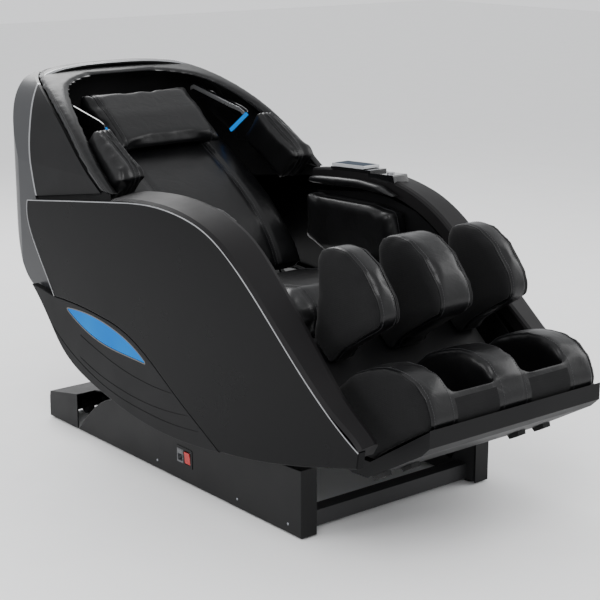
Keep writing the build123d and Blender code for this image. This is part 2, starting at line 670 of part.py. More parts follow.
roller_places = [along(arm_pivot, track, step, roller_rise) for step in (-roller_step, roller_step)]
arm_thickness = 10.0
with BuildPart() as roller_arms:
    arm_outer = roller_x - roller_width / 2 - 1.0
    for s in (-1, 1):
        bent = [along(arm_pivot, track, -8.0, -6.0), along(arm_pivot, track, -roller_step - 7.0, roller_rise),
                along(arm_pivot, track, -roller_step, roller_rise + 7.0), along(arm_pivot, track, 0.0, 14.0),
                along(arm_pivot, track, roller_step, roller_rise + 7.0),
                along(arm_pivot, track, roller_step + 7.0, roller_rise), along(arm_pivot, track, 8.0, -6.0)]
        extrude(polygon(s * (arm_outer - arm_thickness), bent), amount=s * arm_thickness)
        extrude(disc(s * (arm_outer - arm_thickness), arm_pivot, 11.0), amount=s * arm_thickness)
    for place in roller_places:
        extrude(disc(-roller_x - roller_width / 2 - 2.0, place, 5.0), amount=2 * roller_x + roller_width + 4.0)
    extrude(disc(-arm_outer + 1.0, arm_pivot, 11.0), amount=2 * arm_outer - 2.0)
    extrude(disc(-arm_outer - 1.0, arm_pivot, pivot_pin_r - 4.0 + pin_clearance), amount=2 * arm_outer + 2.0,
            mode=Mode.SUBTRACT)
save(roller_arms.part, "roller_arms")

for name, place in zip(("lower", "upper"), roller_places):
    with BuildPart() as rollers:
        for s in (-1, 1):
            extrude(disc(s * (roller_x - roller_width / 2), place, roller_r), amount=s * roller_width)
        fillet(rollers.edges(), radius=8.0)
        extrude(disc(-roller_x - roller_width, place, 5.0 + pin_clearance),
                amount=2 * (roller_x + roller_width), mode=Mode.SUBTRACT)
    save(rollers.part, "massage_rollers_" + name)

# ---- the hood and back shell: an arch that leans back, cut by its rim --------------------------------
hood_top = at(0, 1100)[1]
arch_points = ((0, 795), (4, 873), (22, 950), (38, 993), (64, 1034), (101, 1067), (170, 1088))
rim_low = at(786, 794)
rim_curve = [rim_low] + placed((905, 873), (1022, 950), (1103, 993), (1202, 1034), (1312, 1067), (1425, 1092))
trim_curve = placed((1224, 733), (1240, 785), (1255, 850), (1272, 920), (1297, 997), (1340, 1060), (1400, 1100))
rear_curve = placed((1200, 440), (1290, 470), (1345, 560), (1395, 690), (1427, 800), (1440, 900), (1438, 1000),
                    (1425, 1105))
corner_r = 120.0
shell_front = placed((1090, 455), (1150, 600))


def hood_envelope(inset):
    """Everything inside the hood's skin, moved in by a wall."""
    half = hood_half - inset
    with BuildPart() as body:
        with BuildSketch(Plane.XZ.offset(-at(760, 0)[0])):
            with BuildLine():
                right = [(half - shift, at(0, up)[1] - inset) for shift, up in arch_points]
                left = [(-x, z) for x, z in right]
                Line((half, at(0, 430)[1] + inset), right[0])
                Spline(*right, (0, hood_top - inset), *left[::-1])
                Line(left[0], (-half, at(0, 430)[1] + inset))
                Line((-half, at(0, 430)[1] + inset), (half, at(0, 430)[1] + inset))
            make_face()
        extrude(amount=at(1460, 0)[0] - at(760, 0)[0], dir=(0, 1, 0))
        with BuildSketch(side(-half - 1.0)):
            with BuildLine():
                front = at(765, 0)[0]
                rear = [(y - inset, z) for y, z in rear_curve]
                Polyline(rear[0], (front, rear[0][1]), (front, rear[-1][1]), rear[-1])
                Spline(*rear)
            make_face()
        extrude(amount=2 * half + 2.0, mode=Mode.INTERSECT)
        with BuildSketch(Plane.XY.offset(at(0, 420)[1])):
            with BuildLine():
                front = at(762, 0)[0]
                back = at(1440, 0)[0] - inset
                turn = corner_r - inset
                Polyline((-half, back - turn), (-half, front), (half, front), (half, back - turn))
                Spline((half, back - turn), (half - 0.35 * turn, back - 0.3 * turn), (half - 2.0 * turn, back),
                       (-half + 2.0 * turn, back), (-half + 0.35 * turn, back - 0.3 * turn),
                       (-half, back - turn))
            make_face()
        extrude(amount=hood_top, mode=Mode.INTERSECT)
    return body.part


def between(front_curve, rear_curve_points, x_half):
    """The slab between two side view curves, both running upward, across the whole width."""
    with BuildSketch(side(-x_half)) as face:
        with BuildLine():
            Spline(*front_curve)
            Line(front_curve[-1], rear_curve_points[-1])
            Spline(*rear_curve_points)
            Line(rear_curve_points[0], front_curve[0])
        make_face()
    with BuildPart() as slab:
        extrude(face.sketch, amount=2 * x_half)
    return slab.part


def shifted(curve, dy):
    return [(y + dy, z) for y, z in curve]


rim_depth = 60.0            # width of the padded rim, front to back
rim_thickness = 30.0        # hood skin to the rim's inside edge
trim_width = 9.0
clear = hood_half + 20.0
outer = hood_envelope(0.0)
skin = outer - hood_envelope(wall)
hood_room = hood_envelope(rim_thickness + soft_gap)
rim_space = between(rim_curve, shifted(rim_curve, rim_depth + panel_gap), clear)
rear_limit = shifted(rear_curve, 60.0)
trim_front = shifted(trim_curve, -trim_width)

with BuildPart() as hood_rim:
    add(outer - hood_envelope(rim_thickness))
    add(between(rim_curve, shifted(rim_curve, rim_depth), clear), mode=Mode.INTERSECT)
save(hood_rim.part, "hood_rim")

with BuildPart() as hood_sides:
    add(skin)
    add(between(shifted(rim_curve[:-1], rim_depth + panel_gap), shifted(trim_front, -panel_gap), clear),
        mode=Mode.INTERSECT)
halves = hood_sides.part.solids().sort_by(Axis.X)
for (name, s), half in zip(sides, (halves[0], halves[-1])):
    save(half, "hood_side_" + name)

with BuildPart() as hood_trims:
    add(skin)
    add(between(trim_front, shifted(trim_curve, -1.0), clear), mode=Mode.INTERSECT)
    add(rim_space, mode=Mode.SUBTRACT)
save(hood_trims.part, "hood_trims")

with BuildPart() as back_shell:
    add(skin)
    add(between(shell_front + trim_curve, rear_limit, clear), mode=Mode.INTERSECT)
    add(rim_space, mode=Mode.SUBTRACT)
save(back_shell.part, "back_shell")

# ---- what is inside the hood and what the sitter leans on ---------------------------------------------
back_front = placed((715, 520), (790, 640), (880, 722), (1010, 803), (1150, 878), (1290, 945), (1350, 975))
back_rear = placed((1378, 918), (1320, 872), (1190, 808), (1050, 740), (930, 667), (850, 600), (772, 482))
with BuildPart() as back_cushion:
    extrude(outline(-back_cushion_half, curved(back_front, [back_front[-1], back_rear[0]], back_rear,
                                               [back_rear[-1], back_front[0]])),
            amount=2 * back_cushion_half)
save(back_cushion.part, "back_cushion")

pillow_half = 200.0
pillow = placed((1062, 852), (1052, 874), (1150, 952), (1262, 1024), (1288, 1012), (1296, 962), (1150, 896))
with BuildPart() as head_pillow:
    extrude(polygon(-pillow_half, pillow, 8.0), amount=2 * pillow_half)
save(head_pillow.part, "head_pillow")

shoulder_face = 270.0
shoulder = placed((782, 838), (800, 866), (968, 962), (992, 955), (1062, 872), (1040, 842), (872, 752), (850, 764))
speaker = placed((1010, 955), (1050, 968), (1310, 1020), (1345, 1012), (1300, 972), (1120, 890), (1090, 884))
speaker_x = 262.0
light_strip = placed((1012, 944), (1100, 882), (1108, 890), (1022, 951))
with BuildPart() as shoulder_pads:
    for name, s in sides:
        extrude(polygon(s * shoulder_face, shoulder, 14.0),
                amount=s * (hood_half - rim_thickness - soft_gap - shoulder_face))
    add(hood_room, mode=Mode.INTERSECT)
save(shoulder_pads.part, "shoulder_pads")

with BuildPart() as speaker_panels:
    for name, s in sides:
        extrude(polygon(s * speaker_x, speaker, 10.0), amount=s * wall)
    add(hood_room, mode=Mode.INTERSECT)
save(speaker_panels.part, "speaker_panels")

with BuildPart() as hood_lights:
    for name, s in sides:
        extrude(polygon(s * (speaker_x - 6.0), light_strip), amount=s * 5.6)
save(hood_lights.part, "hood_lights")

# ==== legrest ==========================================================================================
leg = unit((90.0, 470.0), (90.0 - 0.75, 470.0 - 0.66))


def leg_point(down, up):
    """A point on the legrest: down the calf from its pivot, and up towards the calf."""
    return along(leg_pivot, leg, down, up)


guide_up = 30.0
guide_r = slide_rod_r + 5.0
guide_start, guide_end = 62.0, 212.0
leg_low = -40.0
board_low, board_high = 48.0, 60.0
with BuildPart() as leg_frame:
    for name, s in sides:
        plate = [leg_point(-16.0, 14.0), leg_point(60.0, 44.0), leg_point(guide_end, 44.0),
                 leg_point(guide_end, leg_low + 12.0), leg_point(60.0, leg_low + 12.0), leg_point(-16.0, -14.0)]
        extrude(polygon(s * (leg_plate_outer - sheet_steel), plate, 8.0), amount=s * sheet_steel)
        extrude(disc(s * (leg_plate_outer - sheet_steel), leg_pivot, 24.0), amount=s * sheet_steel)
        extrude(disc(s * (leg_plate_outer - 1.0), leg_pivot, pivot_pin_r),
                amount=s * (seat_plate_outer + 4.0 - leg_plate_outer + 1.0))
        guide = Plane(origin=(s * slide_rod_x, *leg_point(guide_start, guide_up)), x_dir=(1, 0, 0),
                      z_dir=(0, *leg))
        with BuildSketch(guide):
            Circle(guide_r)
        extrude(amount=guide_end - guide_start)
    for down in (guide_start + 12.0, guide_end - 12.0):
        bar = [leg_point(down - 12.0, guide_up + 13.0), leg_point(down + 12.0, guide_up + 13.0),
               leg_point(down + 12.0, guide_up - 13.0), leg_point(down - 12.0, guide_up - 13.0)]
        extrude(polygon(-leg_plate_outer + 1.0, bar), amount=2 * leg_plate_outer - 2.0)
    extrude(disc(-leg_plate_outer + 1.0, leg_pivot, tube_r - 2.0), amount=2 * leg_plate_outer - 2.0)
    lug_x = actuator_x["leg"] + lug_thickness / 2 + 1.0
    reach = unit(leg_pivot, leg_head)
    lever = [along(leg_pivot, reach, 0, lug_r), along(leg_head, reach, 0, lug_r),
             along(leg_head, reach, 0, -lug_r), along(leg_pivot, reach, 0, -lug_r)]
    extrude(polygon(lug_x, lever), amount=lug_thickness)
    extrude(disc(lug_x, leg_head, lug_r), amount=lug_thickness)
    for s in (-1, 1):
        guide = Plane(origin=(s * slide_rod_x, *leg_point(guide_start - 1.0, guide_up)), x_dir=(1, 0, 0),
                      z_dir=(0, *leg))
        with BuildSketch(guide):
            Circle(slide_rod_r + pin_clearance)
        extrude(amount=guide_end - guide_start + 2.0, mode=Mode.SUBTRACT)
save(leg_frame.part, "leg_frame")

cover_half = leg_plate_outer + wall + 4.0
with BuildPart() as leg_cover:
    start, end = 68.0, 216.0
    under = [leg_point(start, leg_low), leg_point(end, leg_low), leg_point(end, leg_low + wall),
             leg_point(start, leg_low + wall)]
    extrude(polygon(-cover_half, under), amount=2 * cover_half)
    cheek = [leg_point(start, leg_low), leg_point(end, leg_low), leg_point(end, board_low - 1.0),
             leg_point(start, board_low - 1.0)]
    for s in (-1, 1):
        extrude(polygon(s * (cover_half - wall), cheek), amount=s * wall)
save(leg_cover.part, "leg_cover")

with BuildPart() as calf_board:
    board = [leg_point(-4.0, board_low), leg_point(218.0, board_low), leg_point(218.0, board_high),
             leg_point(-4.0, board_high)]
    extrude(polygon(-calf_outer, board), amount=2 * calf_outer)
save(calf_board.part, "calf_board")

calf_side = [leg_point(-2.0, board_high + soft_gap), at(38, 640), at(36, 735), at(20, 764), at(-22, 776),
             at(-76, 770), at(-134, 738), at(-190, 672), at(-207, 625), at(-199, 598),
             at(-60, 505), leg_point(86.0, board_high + soft_gap)]
for name, low, high in (("right", -calf_outer, -calf_inner), ("middle", -calf_middle, calf_middle),
                        ("left", calf_inner, calf_outer)):
    with BuildPart() as calf_pad:
        extrude(polygon(low, calf_side, 9.0), amount=high - low)
    save(calf_pad.part, "calf_pad_" + name)

# ==== footrest, sliding out of the legrest ================================================================
sole_front, sole_rear = at(-421, 405), at(-215, 272)
foot_outline = (placed((-85, 437), (-141, 482), (-196, 504), (-250, 519), (-303, 521), (-356, 509),
                       (-397, 478), (-416, 438))
                + [sole_front, sole_rear, leg_point(300.0, 0.0), leg_point(226.0, 0.0),
                   leg_point(226.0, board_high + 8.0), leg_point(162.0, board_high + 8.0)])
sole = unit(sole_rear, sole_front)
sole_depth = 45.0
rod_start, rod_end = guide_start + 4.0, 292.0
roller_place = along(sole_rear, sole, 130.0, 26.0)
with BuildPart() as foot_pad:
    extrude(polygon(-foot_half, foot_outline, 5.0), amount=2 * foot_half)
    fillet(edges_across(foot_pad, -foot_half) + edges_across(foot_pad, foot_half), radius=4.0)
    for s in (-1, 1):
        well = [at(-397, 540), along(sole_front, sole, -8.0, sole_depth), along(sole_rear, sole, 8.0, sole_depth),
                at(-128, 392), at(-84, 428), at(-60, 540)]
        extrude(polygon(s * well_inner, well, 6.0), amount=s * (well_outer - well_inner), mode=Mode.SUBTRACT)
        hole = Plane(origin=(s * slide_rod_x, *leg_point(200.0, guide_up)), x_dir=(1, 0, 0), z_dir=(0, *leg))
        with BuildSketch(hole):
            Circle(slide_rod_r + 0.5)
        extrude(amount=rod_end - 200.0 + 1.0, mode=Mode.SUBTRACT)
        extrude(disc(s * 70.0, roller_place, sole_roller_r + 2.0), amount=s * 110.0, mode=Mode.SUBTRACT)
    extrude(disc(-196.0, roller_place, 5.0 + pin_clearance), amount=392.0, mode=Mode.SUBTRACT)
save(foot_pad.part, "foot_pad")

with BuildPart() as sole_rollers:
    extrude(disc(-194.0, roller_place, 5.0), amount=388.0)
    for s in (-1, 1):
        for x in (82.0, 118.0, 154.0):
            extrude(disc(s * (x - 8.0), roller_place, sole_roller_r), amount=s * 16.0)
save(sole_rollers.part, "sole_rollers")

with BuildPart() as foot_rods:
    for s in (-1, 1):
        rod_plane = Plane(origin=(s * slide_rod_x, *leg_point(rod_start, guide_up)), x_dir=(1, 0, 0),
                          z_dir=(0, *leg))
        with BuildSketch(rod_plane):
            Circle(slide_rod_r)
        extrude(amount=rod_end - rod_start)
save(foot_rods.part, "foot_rods")

shell_top = [along(sole_front, sole, 4.0, 0.0), along(sole_front, sole, 0.0, -soft_gap),
             along(sole_rear, sole, 0.0, -soft_gap), leg_point(300.0, -soft_gap - 2.0),
             leg_point(230.0, -soft_gap)]
shell_under = [leg_point(230.0, leg_low), leg_point(300.0, leg_low - 8.0)] + placed((-150, 224), (-207, 226),
                                                                                (-398, 337), (-424, 362))
with BuildPart() as foot_shell:
    extrude(polygon(-foot_half - 2.0, shell_top + shell_under), amount=2 * foot_half + 4.0)
save(foot_shell.part, "foot_shell")

under_run = unit(at(-207, 226), at(-398, 337))
with BuildPart() as foot_bumpers:
    for x in (-285.0, -190.0, 190.0, 285.0):
        block = [along(at(-207, 226), under_run, 18.0, -0.5), along(at(-207, 226), under_run, 62.0, -0.5),
                 along(at(-207, 226), under_run, 58.0, -12.0), along(at(-207, 226), under_run, 22.0, -12.0)]
        extrude(polygon(x - 14.0, block), amount=28.0)
save(foot_bumpers.part, "foot_bumpers")

# ==== remote on the sitter's left arm =======================================================================
remote_x = cap_inner + 30.0
remote_run = unit(at(515, 824), at(670, 816))
remote_base = at(515, 829)
remote_half = 32.0
with BuildPart() as remote:
    slate = [along(remote_base, remote_run, 0.0, 2.0), along(remote_base, remote_run, 146.0, 2.0),
             along(remote_base, remote_run, 146.0, 11.0), along(remote_base, remote_run, 0.0, 11.0)]
    extrude(polygon(remote_x - remote_half + 1.0, slate, 2.0), amount=2 * remote_half - 2.0)
save(remote.part, "remote")

pod_top = at(418, 828)
button_r = 11.0
button_place = (remote_x - 2.0, *along(pod_top, remote_run, 10.0, 0.0))
button_plane = Plane(origin=button_place, x_dir=(1, 0, 0), z_dir=(0, -remote_run[1], remote_run[0]))
with BuildPart() as arm_control:
    pod = [along(pod_top, remote_run, -38.0, -30.0), along(pod_top, remote_run, 80.0, -14.0),
           along(pod_top, remote_run, 80.0, -1.0), along(pod_top, remote_run, -30.0, 0.0)]
    extrude(polygon(remote_x - 30.0, pod, 4.0), amount=56.0)
    foot = [along(remote_base, remote_run, -30.0, -7.0), along(remote_base, remote_run, 150.0, -7.0),
            along(remote_base, remote_run, 150.0, 1.0), along(remote_base, remote_run, -30.0, 1.0)]
    extrude(polygon(remote_x - remote_half, foot), amount=2 * remote_half)
    with BuildSketch(button_plane.offset(-8.0)):
        Circle(button_r + 0.4)
    extrude(amount=20.0, mode=Mode.SUBTRACT)
    add(left_cap, mode=Mode.SUBTRACT)
save(arm_control.part, "arm_control")

with BuildPart() as jog_button:
    with BuildSketch(button_plane.offset(-5.0)):
        Circle(button_r)
    extrude(amount=9.0)
save(jog_button.part, "jog_button")
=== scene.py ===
from math import radians

import bmesh
import bpy
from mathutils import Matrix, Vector


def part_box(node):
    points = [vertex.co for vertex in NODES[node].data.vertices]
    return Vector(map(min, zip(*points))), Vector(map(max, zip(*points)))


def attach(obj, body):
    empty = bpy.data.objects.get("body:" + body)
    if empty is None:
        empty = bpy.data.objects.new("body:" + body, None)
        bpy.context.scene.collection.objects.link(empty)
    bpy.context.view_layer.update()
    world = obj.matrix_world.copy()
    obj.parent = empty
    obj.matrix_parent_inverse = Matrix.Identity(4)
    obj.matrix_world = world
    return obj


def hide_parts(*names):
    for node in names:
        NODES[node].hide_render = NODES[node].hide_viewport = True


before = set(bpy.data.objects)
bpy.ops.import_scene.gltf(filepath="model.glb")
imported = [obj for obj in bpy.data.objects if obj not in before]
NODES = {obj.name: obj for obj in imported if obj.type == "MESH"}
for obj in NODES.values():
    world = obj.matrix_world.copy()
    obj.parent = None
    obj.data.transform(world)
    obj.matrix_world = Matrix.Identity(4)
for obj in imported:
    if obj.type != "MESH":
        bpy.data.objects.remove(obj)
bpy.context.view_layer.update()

bl_info = {
    "name": "Massage chair",
    "version": (1, 0, 0),
    "blender": (4, 5, 0),
    "location": "3D Viewport > Sidebar > Massage Chair",
    "description": "Upholstery, finishes and stage for a reclining massage chair",
    "category": "Add Mesh",
}

MM = 0.001
THREAD_LIFT = 0.4 * MM   # stitches lie this far above the cover
PIPING_LIFT = 0.8 * MM   # and piping this far
CLOTH_FRAMES = 15        # frames each cover is blown up for
WELL_EDGES = (51 * MM, 199 * MM)   # foot wells, half widths inside and outside
finishes = {}


# ---- small tools -------------------------------------------------------------------------------------


def linear(code):
    """An sRGB hex colour as linear RGBA."""
    parts = [int(code[i:i + 2], 16) / 255 for i in (1, 3, 5)]
    return tuple(c / 12.92 if c <= 0.04045 else ((c + 0.055) / 1.055) ** 2.4 for c in parts) + (1.0,)


def add_node(tree, kind, inputs=None, **settings):
    """Adds a node, sets its fields, and sets or links its inputs by name or number."""
    made = tree.nodes.new(kind)
    for field, value in settings.items():
        setattr(made, field, value)
    for socket, value in (inputs or {}).items():
        if isinstance(value, bpy.types.NodeSocket):
            tree.links.new(value, made.inputs[socket])
        else:
            made.inputs[socket].default_value = value
    return made


def new_finish(name, **shader):
    """An empty material with a Principled shader, its constants set on the shader itself."""
    made = bpy.data.materials.new(name)
    made.use_nodes = True
    tree = made.node_tree
    tree.nodes.clear()
    sockets = {field.replace("_", " "): value for field, value in shader.items()}
    body = add_node(tree, "ShaderNodeBsdfPrincipled", sockets)
    add_node(tree, "ShaderNodeOutputMaterial", {"Surface": body.outputs[0]})
    finishes[name] = made
    return tree, body


def per_mm(size):
    """The scale of a pattern on Object coordinates whose repeat is this many millimetres."""
    return 1.0 / (size * MM)


def mottled(tree, body, coords, first, second, patch_mm, rough_low, rough_high):
    """Two close colours and two roughnesses, in soft patches."""
    patches = add_node(tree, "ShaderNodeTexNoise",
                       {"Vector": coords, "Scale": per_mm(patch_mm), "Detail": 4.0, "Roughness": 0.6})
    colours = add_node(tree, "ShaderNodeMix",
                       {0: patches.outputs["Fac"], 6: linear(first), 7: linear(second)}, data_type="RGBA")
    tree.links.new(colours.outputs[2], body.inputs["Base Color"])
    rough = add_node(tree, "ShaderNodeMapRange",
                     {"Value": patches.outputs["Fac"], "From Min": 0.3, "From Max": 0.7,
                      "To Min": rough_low, "To Max": rough_high})
    tree.links.new(rough.outputs[0], body.inputs["Roughness"])


def bumped(tree, body, heights):
    """Adds relief from (height socket, depth in mm, strength) in turn."""
    normal = None
    for height, depth, strength in heights:
        relief = add_node(tree, "ShaderNodeBump",
                          {"Height": height, "Distance": depth * MM, "Strength": strength})
        if normal is not None:
            tree.links.new(normal, relief.inputs["Normal"])
        normal = relief.outputs[0]
    tree.links.new(normal, body.inputs["Normal"])


# ---- finishes ----------------------------------------------------------------------------------------


def leather(name, first, second, crease_depth):
    """Polyurethane leather: fine pebbled grain under a clear topcoat, with soft creases where it is sewn."""
    tree, body = new_finish(name, IOR=1.5, Specular_IOR_Level=0.2, Coat_Weight=0.16, Coat_Roughness=0.18)
    coords = add_node(tree, "ShaderNodeTexCoord").outputs["Object"]
    mottled(tree, body, coords, first, second, 70.0, 0.33, 0.46)
    # real pebbles are about 1 mm; drawn at 4 mm so that they show
    pebbles = add_node(tree, "ShaderNodeTexVoronoi", {"Vector": coords, "Scale": per_mm(4.0)},
                       feature="DISTANCE_TO_EDGE")
    creases = add_node(tree, "ShaderNodeTexNoise",
                       {"Vector": coords, "Scale": per_mm(55.0), "Detail": 5.0, "Roughness": 0.55,
                        "Distortion": 1.4})
    bumped(tree, body, [(creases.outputs["Fac"], crease_depth, 0.5),
                        (pebbles.outputs["Distance"], 0.5, 0.22)])


def mesh_fabric(name, first, second):
    """Polyester spacer mesh: a matte open weave, threads about 2.5 mm apart."""
    tree, body = new_finish(name, IOR=1.5, Specular_IOR_Level=0.18, Sheen_Weight=0.03, Sheen_Roughness=0.5)
    coords = add_node(tree, "ShaderNodeTexCoord").outputs["Object"]
    mottled(tree, body, coords, first, second, 90.0, 0.78, 0.92)
    threads = [add_node(tree, "ShaderNodeTexWave", {"Vector": coords, "Scale": per_mm(2.5 * 6.28)},
                        bands_direction=axis).outputs["Fac"] for axis in ("Y", "Z")]
    weave = add_node(tree, "ShaderNodeMath", {0: threads[0], 1: threads[1]}, operation="MAXIMUM")
    bumped(tree, body, [(weave.outputs[0], 0.6, 0.5)])


def moulded(name, first, second, rough_low, rough_high, grain_mm, grain_depth, **shader):
    """Injection moulded plastic: an even fine spark grain, a little polished or dusty in patches."""
    tree, body = new_finish(name, IOR=1.52, **shader)
    coords = add_node(tree, "ShaderNodeTexCoord").outputs["Object"]
    mottled(tree, body, coords, first, second, 160.0, rough_low, rough_high)
    grain = add_node(tree, "ShaderNodeTexNoise", {"Vector": coords, "Scale": per_mm(grain_mm), "Detail": 2.0})
    bumped(tree, body, [(grain.outputs["Fac"], grain_depth, 0.35)])


def metal(name, first, second, rough_low, rough_high, line_mm, depth):
    """Bare or plated metal: fine lines round the bar from grinding."""
    tree, body = new_finish(name, Metallic=1.0)
    coords = add_node(tree, "ShaderNodeTexCoord").outputs["Object"]
    mottled(tree, body, coords, first, second, 60.0, rough_low, rough_high)
    stretch = add_node(tree, "ShaderNodeMapping", {"Vector": coords, "Scale": (0.05, 1.0, 1.0)})
    lines = add_node(tree, "ShaderNodeTexNoise", {"Vector": stretch.outputs[0], "Scale": per_mm(line_mm)})
    bumped(tree, body, [(lines.outputs["Fac"], depth, 0.3)])


def lamp(name, first, second, strength):
    """Milky polycarbonate lit from behind, its glow in two close blues in soft patches."""
    tree, body = new_finish(name, IOR=1.58, Roughness=0.4, Emission_Strength=strength,
                            Specular_IOR_Level=0.02, Base_Color=linear("#01182c"))
    coords = add_node(tree, "ShaderNodeTexCoord").outputs["Object"]
    glow = add_node(tree, "ShaderNodeTexNoise", {"Vector": coords, "Scale": per_mm(120.0), "Detail": 1.0})
    shades = add_node(tree, "ShaderNodeMix", {0: glow.outputs["Fac"], 6: linear(first), 7: linear(second)},
                      data_type="RGBA")
    tree.links.new(shades.outputs[2], body.inputs["Emission Color"])


def make_finishes(colours):
    # polyurethane leather, black: low sheen from its topcoat
    leather("pu_leather_black", colours.leather, "#080809", 2.6)
    # the same leather on the firm rims, stretched tight
    leather("pu_leather_tight", colours.leather, "#070708", 0.8)
    # polyester spacer mesh on the pads' insides: no gloss
    mesh_fabric("spacer_mesh_black", "#070708", "#0c0c0d")
    # polyester thread, bonded: slightly lighter than the leather
    moulded("bonded_thread", "#3a3a3c", "#2c2c2e", 0.5, 0.6, 1.0, 0.1)
    # ABS, satin lacquered: the arms' big panels
    moulded("abs_satin_black", colours.panel, "#040405", 0.26, 0.34, 3.0, 0.05, Specular_IOR_Level=0.08)
    # ABS, textured: charcoal lower panels and hood sides
    moulded("abs_charcoal", colours.lower_panel, "#0f0f10", 0.4, 0.5, 2.0, 0.12, Specular_IOR_Level=0.1)
    # ABS with a soft-touch lacquer: arm caps
    moulded("soft_touch_abs", colours.cap, "#141314", 0.46, 0.56, 2.0, 0.15, Specular_IOR_Level=0.12)
    # ABS, painted dark grey: the rear shell
    moulded("abs_painted_grey", colours.shell, "#252629", 0.3, 0.38, 3.0, 0.05, Coat_Weight=0.15,
            Coat_Roughness=0.2, Specular_IOR_Level=0.25)
    # ABS, metallised silver: trims
    moulded("silver_paint", colours.trim, "#8b8c8e", 0.24, 0.32, 1.5, 0.04, Metallic=0.75)
    # acrylic, polished black: speaker panels and bezels
    moulded("acrylic_black", "#050506", "#0a0a0c", 0.06, 0.12, 6.0, 0.01, Coat_Weight=0.6)
    # polypropylene, grained: base covers
    moulded("polypropylene_black", colours.base, "#0a0a0b", 0.42, 0.54, 1.6, 0.25, Specular_IOR_Level=0.2)
    # mild steel, powder coated: frames
    moulded("powder_coat_black", "#141415", "#1c1c1e", 0.5, 0.62, 2.2, 0.2)
    # steel, hard chromed and ground: rods
    metal("hard_chrome", "#c9cbce", "#b4b7bb", 0.12, 0.22, 1.0, 0.02)
    # zinc plated sheet: motor barrels
    metal("zinc_plate", "#8d9095", "#7b7e84", 0.35, 0.5, 1.5, 0.05)
    # nitrile rubber: feet, wheels and bumpers
    moulded("nitrile_rubber", "#0c0c0c", "#141414", 0.75, 0.88, 2.0, 0.3, Specular_IOR_Level=0.35)
    # ABS, light grey: remote
    moulded("abs_light_grey", colours.remote, "#a3a5a8", 0.34, 0.44, 2.0, 0.08)
    # nylon, grey: mains inlet
    moulded("nylon_grey", "#5a5b5d", "#4c4d4f", 0.5, 0.6, 1.5, 0.1)
    # polycarbonate, red: rocker
    moulded("polycarbonate_red", colours.rocker, "#8f0d0a", 0.2, 0.28, 3.0, 0.02)
    # acetal, ivory: massage rollers
    moulded("acetal_ivory", "#cfc8b0", "#c2bba2", 0.35, 0.45, 2.0, 0.05)
    # milky polycarbonate, lit
    lamp("lamp_polycarbonate", colours.lamp, "#00a0ff", 0.8)
    # display glass over a dim screen
    lamp("display_glass", "#10202a", "#1c3a4a", 0.2)


CAD_FINISH = {
    "abs_satin_black": ["side_panel_right", "side_panel_left"],
    "abs_charcoal": ["lower_panel_right", "lower_panel_left", "hood_side_right", "hood_side_left",
                     "foot_shell", "arm_liners"],
    "soft_touch_abs": ["arm_cap_right", "arm_cap_left"],
    "abs_painted_grey": ["back_shell"],
    "silver_paint": ["arm_trims", "hood_trims", "jog_button"],
    "acrylic_black": ["speaker_panels", "lamp_bezels", "control_box", "arm_control"],
    "lamp_polycarbonate": ["lamp_lenses", "hood_lights"],
    "polypropylene_black": ["base_cover_right", "base_cover_left", "base_tail_cover", "power_plate",
                            "seat_pan", "leg_cover", "calf_board"],
    "powder_coat_black": ["base_frame", "seat_frame", "back_frame", "leg_frame"],
    "hard_chrome": ["tilt_rod", "recline_rod", "leg_rod", "foot_rods", "roller_arms"],
    "zinc_plate": ["tilt_actuator", "recline_actuator", "leg_actuator", "massage_carriage", "air_pump"],
    "nitrile_rubber": ["base_feet", "transport_wheels", "foot_bumpers"],
    "abs_light_grey": ["remote"],
    "nylon_grey": ["power_inlet"],
    "polycarbonate_red": ["power_switch"],
    "acetal_ivory": ["massage_rollers_lower", "massage_rollers_upper", "sole_rollers"],
}


# ---- meshes ------------------------------------------------------------------------------------------


def new_object(name, mesh, finish):
    made = bpy.data.objects.new(name, mesh)
    bpy.context.scene.collection.objects.link(made)
    if finish:
        mesh.materials.clear()
        mesh.materials.append(finishes[finish])
    return made


def evaluated_mesh(obj):
    bpy.context.view_layer.update()
    graph = bpy.context.evaluated_depsgraph_get()
    return bpy.data.meshes.new_from_object(obj.evaluated_get(graph), depsgraph=graph)


def settled(obj):
    """Turns an object's modifiers into its plain mesh."""
    mesh = evaluated_mesh(obj)
    obj.modifiers.clear()
    obj.data = mesh


def padding(name, node, finish, voxel=8.0, rounds=8, swell=6.0, pull=0.0, pressure=4.0):
    """A CAD node's stuffed form: its solid, remeshed, its corners eased, then blown up under its cover.

    Sizes are in millimetres: voxel is the cover's mesh, rounds how often corners are eased, swell how far the
    cover may move, and pull how much smaller the form starts.
    """
    shape = bmesh.new()
    shape.from_mesh(NODES[node].data)
    bmesh.ops.remove_doubles(shape, verts=shape.verts, dist=0.02 * MM)
    mesh = bpy.data.meshes.new(name)
    shape.to_mesh(mesh)
    shape.free()
    made = new_object(name, mesh, finish)
    remesh = made.modifiers.new("Remesh", "REMESH")
    remesh.mode = "VOXEL"
    remesh.voxel_size = voxel * MM
    ease = made.modifiers.new("Ease", "SMOOTH")
    ease.factor = 0.5
    ease.iterations = rounds
    settled(made)
    made.data.materials.clear()
    made.data.materials.append(finishes[finish])
    if pull:
        moved(made, lambda point, normal: -pull * MM)
    inflated(made, swell * MM, pressure)
    made.data.shade_smooth()
    return made


def moved(obj, distance):
    """Moves every point of a mesh along its normal."""
    shape = bmesh.new()
    shape.from_mesh(obj.data)
    shape.normal_update()
    steps = [point.normal * distance(point.co, point.normal) for point in shape.verts]
    for point, step in zip(shape.verts, steps):
        point.co += step
    shape.to_mesh(obj.data)
    shape.free()


